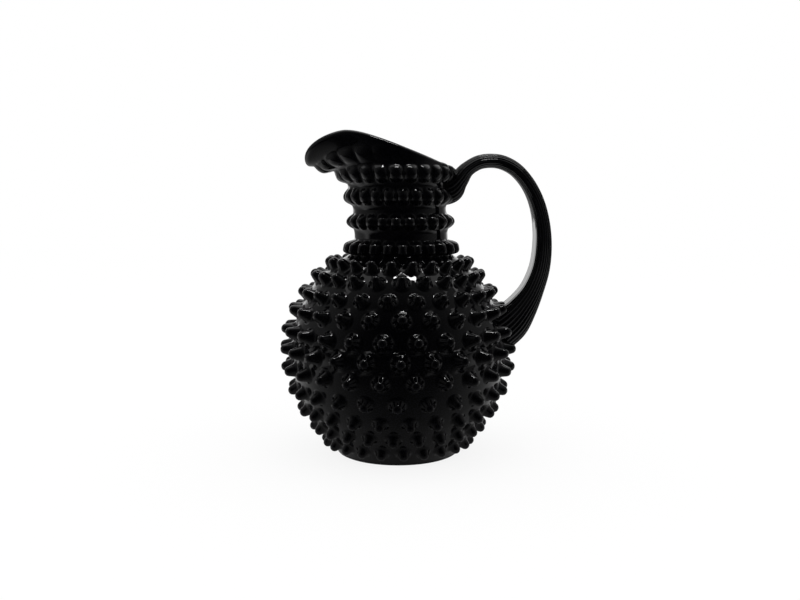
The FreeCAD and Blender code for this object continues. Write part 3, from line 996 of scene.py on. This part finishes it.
class SCENE_OT_jug_studio(bpy.types.Operator):
    """Sets the pale floor, the soft lights, the surroundings and the camera"""

    bl_idname = "scene.jug_studio"
    bl_label = "Studio"

    def execute(self, context):
        add_floor()
        add_world()
        add_lights()
        add_camera()
        return {"FINISHED"}


def empty_material(name):
    """A new material without any nodes."""
    material = bpy.data.materials.new(name)
    material.use_nodes = True
    material.node_tree.nodes.clear()
    return material


def add_floor():
    """White paper under and behind the jug. To glossy rays it glows with painted shade and light
    instead, dark in front of the jug and light behind it, so the glass mirrors it that way."""
    mesh = bpy.data.meshes.new("studio_floor")
    half = PAPER_HALF
    mesh.from_pydata([(-half, -half, 0), (half, -half, 0), (half, half, 0), (-half, half, 0)], [],
                     [(0, 1, 2, 3)])
    floor = add_object("studio_floor", mesh)
    material = empty_material("white_paper")
    tree = material.node_tree
    ray = add_node(tree, "ShaderNodeLightPath")
    place = add_node(tree, "ShaderNodeTexCoord")
    axes = add_node(tree, "ShaderNodeSeparateXYZ", {0: place.outputs["Object"]})
    paper = add_node(tree, "ShaderNodeBsdfDiffuse", (), {"Color": linear_colour("fefefe")})
    white = add_node(tree, "ShaderNodeEmission", (), {"Color": (1, 1, 1, 1), "Strength": 1.0})
    shadowed = add_node(tree, "ShaderNodeMixShader", {1: white.outputs[0], 2: paper.outputs[0]},
                        {0: PAPER_SHADING})
    # Painted reflection: an emission that only glossy rays see, darker in front of the jug and
    # lighter behind, standing in for how light falls on the paper
    mirrored = add_node(tree, "ShaderNodeEmission",
                        {"Color": level_ramp(tree, axes, PAPER_SIDE_SHARE, PAPER_SIDE_LIMIT,
                                             PAINTED_PAPER_REFLECTION)})
    seen = add_node(tree, "ShaderNodeMath",
                    {0: ray.outputs["Is Camera Ray"], 1: ray.outputs["Is Transmission Ray"]},
                    operation="MAXIMUM")
    lit = add_node(tree, "ShaderNodeMixShader",
                   {0: seen.outputs[0], 1: paper.outputs[0], 2: shadowed.outputs[0]})
    whole = add_node(tree, "ShaderNodeMixShader",
                     {0: ray.outputs["Is Glossy Ray"], 1: lit.outputs[0], 2: mirrored.outputs[0]})
    add_node(tree, "ShaderNodeOutputMaterial", {0: whole.outputs[0]})
    floor.data.materials.append(material)


def level_ramp(tree, axes, side_share, side_limit, levels):
    """Grey levels from -1 in front to 1 behind; a share of the way to a side counts as back."""
    aside = add_node(tree, "ShaderNodeMath", {0: axes.outputs["X"]}, operation="ABSOLUTE")
    held = add_node(tree, "ShaderNodeMath", {0: aside.outputs[0]}, {1: side_limit},
                    operation="MINIMUM")
    depth = add_node(tree, "ShaderNodeMath", {0: held.outputs[0], 2: axes.outputs["Y"]},
                     {1: side_share}, operation="MULTIPLY_ADD")
    share = add_node(tree, "ShaderNodeMapRange", {"Value": depth.outputs[0]},
                     {"From Min": -1.0, "From Max": 1.0})
    ramp = add_node(tree, "ShaderNodeValToRGB", {0: share.outputs[0]})
    stops = ramp.color_ramp.elements
    for place, _ in levels[1:-1]:
        stops.new((place + 1) / 2)
    for stop, (place, level) in zip(stops, levels):
        stop.position = (place + 1) / 2
        stop.color = (level, level, level, 1)
    return ramp.outputs["Color"]


def add_world():
    """White surroundings. In the glass they are white behind the jug and dark in front."""
    world = bpy.data.worlds.new("studio_surroundings")
    bpy.context.scene.world = world
    world.use_nodes = True
    tree = world.node_tree
    tree.nodes.clear()
    ray = add_node(tree, "ShaderNodeLightPath")
    place = add_node(tree, "ShaderNodeTexCoord")
    axes = add_node(tree, "ShaderNodeSeparateXYZ", {0: place.outputs["Generated"]})
    mirrored = level_ramp(tree, axes, SURROUNDINGS_SIDE_SHARE, SURROUNDINGS_SIDE_LIMIT,
                          SURROUNDINGS)
    # Sockets 6 and 7 of this node are its two colours, and output 2 is the mixed one
    shade = add_node(tree, "ShaderNodeMix", {"Factor": ray.outputs["Is Glossy Ray"], 7: mirrored},
                     {6: (1, 1, 1, 1)}, data_type="RGBA")
    back = add_node(tree, "ShaderNodeBackground", {"Color": shade.outputs[2]}, {"Strength": 1.0})
    add_node(tree, "ShaderNodeOutputWorld", {0: back.outputs[0]})


def add_panel(name, centre, size, level):
    """A glowing panel over the jug that only the glass mirrors."""
    mesh = bpy.data.meshes.new(name)
    x, y, z = centre
    half_x, half_y = size[0] / 2, size[1] / 2
    mesh.from_pydata([(x - half_x, y - half_y, z), (x - half_x, y + half_y, z),
                      (x + half_x, y + half_y, z), (x + half_x, y - half_y, z)], [],
                     [(0, 1, 2, 3)])
    panel = add_object(name, mesh)
    material = empty_material(name + "_glow")
    tree = material.node_tree
    glow = add_node(tree, "ShaderNodeEmission", (), {"Color": (1, 1, 1, 1), "Strength": level})
    add_node(tree, "ShaderNodeOutputMaterial", {0: glow.outputs[0]})
    mesh.materials.append(material)
    panel.visible_camera = False
    panel.visible_diffuse = False
    panel.visible_shadow = False


def add_lights():
    """Soft light from above, and the panels whose reflections draw the hobs and beads."""
    light = bpy.data.lights.new("high_softbox", "AREA")
    light.shape = "RECTANGLE"
    light.size, light.size_y = LAMP_SIZE
    light.energy = LAMP_ENERGY
    lamp = add_object("high_softbox", light)
    lamp.location = LAMP_PLACE
    lamp.visible_glossy = False
    for panel in PANELS:
        add_panel(*panel)


def add_camera():
    """The photograph's view: level, close and a little below the mouth."""
    camera = bpy.data.cameras.new("camera")
    camera.sensor_width = SENSOR_WIDTH
    camera.lens = FOCAL_PIXELS * SENSOR_WIDTH / PHOTO_WIDTH
    camera.shift_x = (PHOTO_WIDTH / 2 - AXIS_COLUMN) / PHOTO_WIDTH
    camera.shift_y = (HORIZON_ROW - PHOTO_HEIGHT / 2) / PHOTO_WIDTH
    camera.clip_start = NEAREST_SEEN
    eye = add_object("camera", camera)
    eye.location = EYE_PLACE
    eye.rotation_euler = (math.pi / 2, 0, 0)
    bpy.context.scene.camera = eye
    bpy.context.scene.view_settings.view_transform = "Standard"


class VIEW3D_PT_jug(bpy.types.Panel):
    """Lists the jug's pieces and sizes in the sidebar"""

    bl_label = "Hobnail Jug"
    bl_idname = "VIEW3D_PT_jug"
    bl_space_type = "VIEW_3D"
    bl_region_type = "UI"
    bl_category = "Hobnail Jug"

    def draw(self, context):
        sizes = context.scene.jug_sizes
        for name in sizes.__annotations__:
            self.layout.prop(sizes, name)
        for operator in OPERATORS:
            self.layout.operator(operator.bl_idname)


OPERATORS = (MESH_OT_jug_skin, MESH_OT_jug_handle, SCENE_OT_jug_studio)
CLASSES = (JugSizes,) + OPERATORS + (VIEW3D_PT_jug,)


def register():
    for kind in CLASSES:
        bpy.utils.register_class(kind)
    bpy.types.Scene.jug_sizes = bpy.props.PointerProperty(type=JugSizes)


def unregister():
    del bpy.types.Scene.jug_sizes
    for kind in reversed(CLASSES):
        bpy.utils.unregister_class(kind)


def main():
    register()
    bpy.ops.mesh.jug_skin()
    bpy.ops.mesh.jug_handle()
    bpy.ops.scene.jug_studio()


if __name__ == "__main__":
    main()
